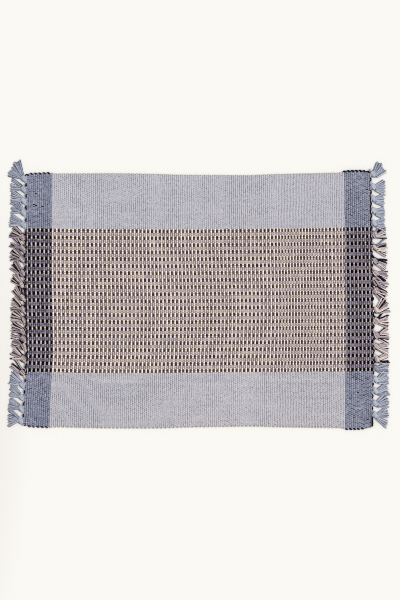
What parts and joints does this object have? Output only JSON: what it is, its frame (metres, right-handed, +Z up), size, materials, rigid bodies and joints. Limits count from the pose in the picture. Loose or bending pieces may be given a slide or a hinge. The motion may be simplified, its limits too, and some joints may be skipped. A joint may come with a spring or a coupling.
{
  "type": "fabric placemat",
  "caption": "Flat rectangular handwoven cotton placemat with a ribbed face, end bands, a middle band of raised dashes and knotted tassels along both short edges.",
  "frame": {"origin": "middle of the cloth's flat underside, on the surface that it lies on", "axes": "+X along the length towards the right tassels, +Y across the width towards the back edge, +Z up out of the ribbed face"},
  "size_m": [0.5045, 0.3506, 0.004],
  "materials": {
    "cloth": "matt handwoven cotton, pale grey-blue with darker end bands and a middle band of cream and near-black dashes",
    "blue_yarn": "matt blue-grey cotton yarn",
    "mixed_yarn": "matt cotton yarn, cream, mauve-grey and near-black strands together"
  },
  "bodies": {
    "root": {"mat_cloth": "cloth", "tassel_left_01": "blue_yarn", "tassel_left_02": "blue_yarn", "tassel_left_03": "blue_yarn", "tassel_left_04": "blue_yarn", "tassel_left_05": "blue_yarn", "tassel_left_06": "mixed_yarn", "tassel_left_07": "mixed_yarn", "tassel_left_08": "mixed_yarn", "tassel_left_09": "mixed_yarn", "tassel_left_10": "mixed_yarn", "tassel_left_11": "mixed_yarn", "tassel_left_12": "mixed_yarn", "tassel_left_13": "mixed_yarn", "tassel_left_14": "mixed_yarn", "tassel_left_15": "mixed_yarn", "tassel_left_16": "mixed_yarn", "tassel_left_17": "mixed_yarn", "tassel_left_18": "mixed_yarn", "tassel_left_19": "blue_yarn", "tassel_left_20": "blue_yarn", "tassel_left_21": "blue_yarn", "tassel_left_22": "blue_yarn", "tassel_right_01": "blue_yarn", "tassel_right_02": "blue_yarn", "tassel_right_03": "blue_yarn", "tassel_right_04": "blue_yarn", "tassel_right_05": "blue_yarn", "tassel_right_06": "mixed_yarn", "tassel_right_07": "mixed_yarn", "tassel_right_08": "mixed_yarn", "tassel_right_09": "mixed_yarn", "tassel_right_10": "mixed_yarn", "tassel_right_11": "mixed_yarn", "tassel_right_12": "mixed_yarn", "tassel_right_13": "mixed_yarn", "tassel_right_14": "mixed_yarn", "tassel_right_15": "mixed_yarn", "tassel_right_16": "mixed_yarn", "tassel_right_17": "blue_yarn", "tassel_right_18": "blue_yarn", "tassel_right_19": "blue_yarn", "tassel_right_20": "blue_yarn", "tassel_right_21": "blue_yarn"}
  },
  "joints": []
}
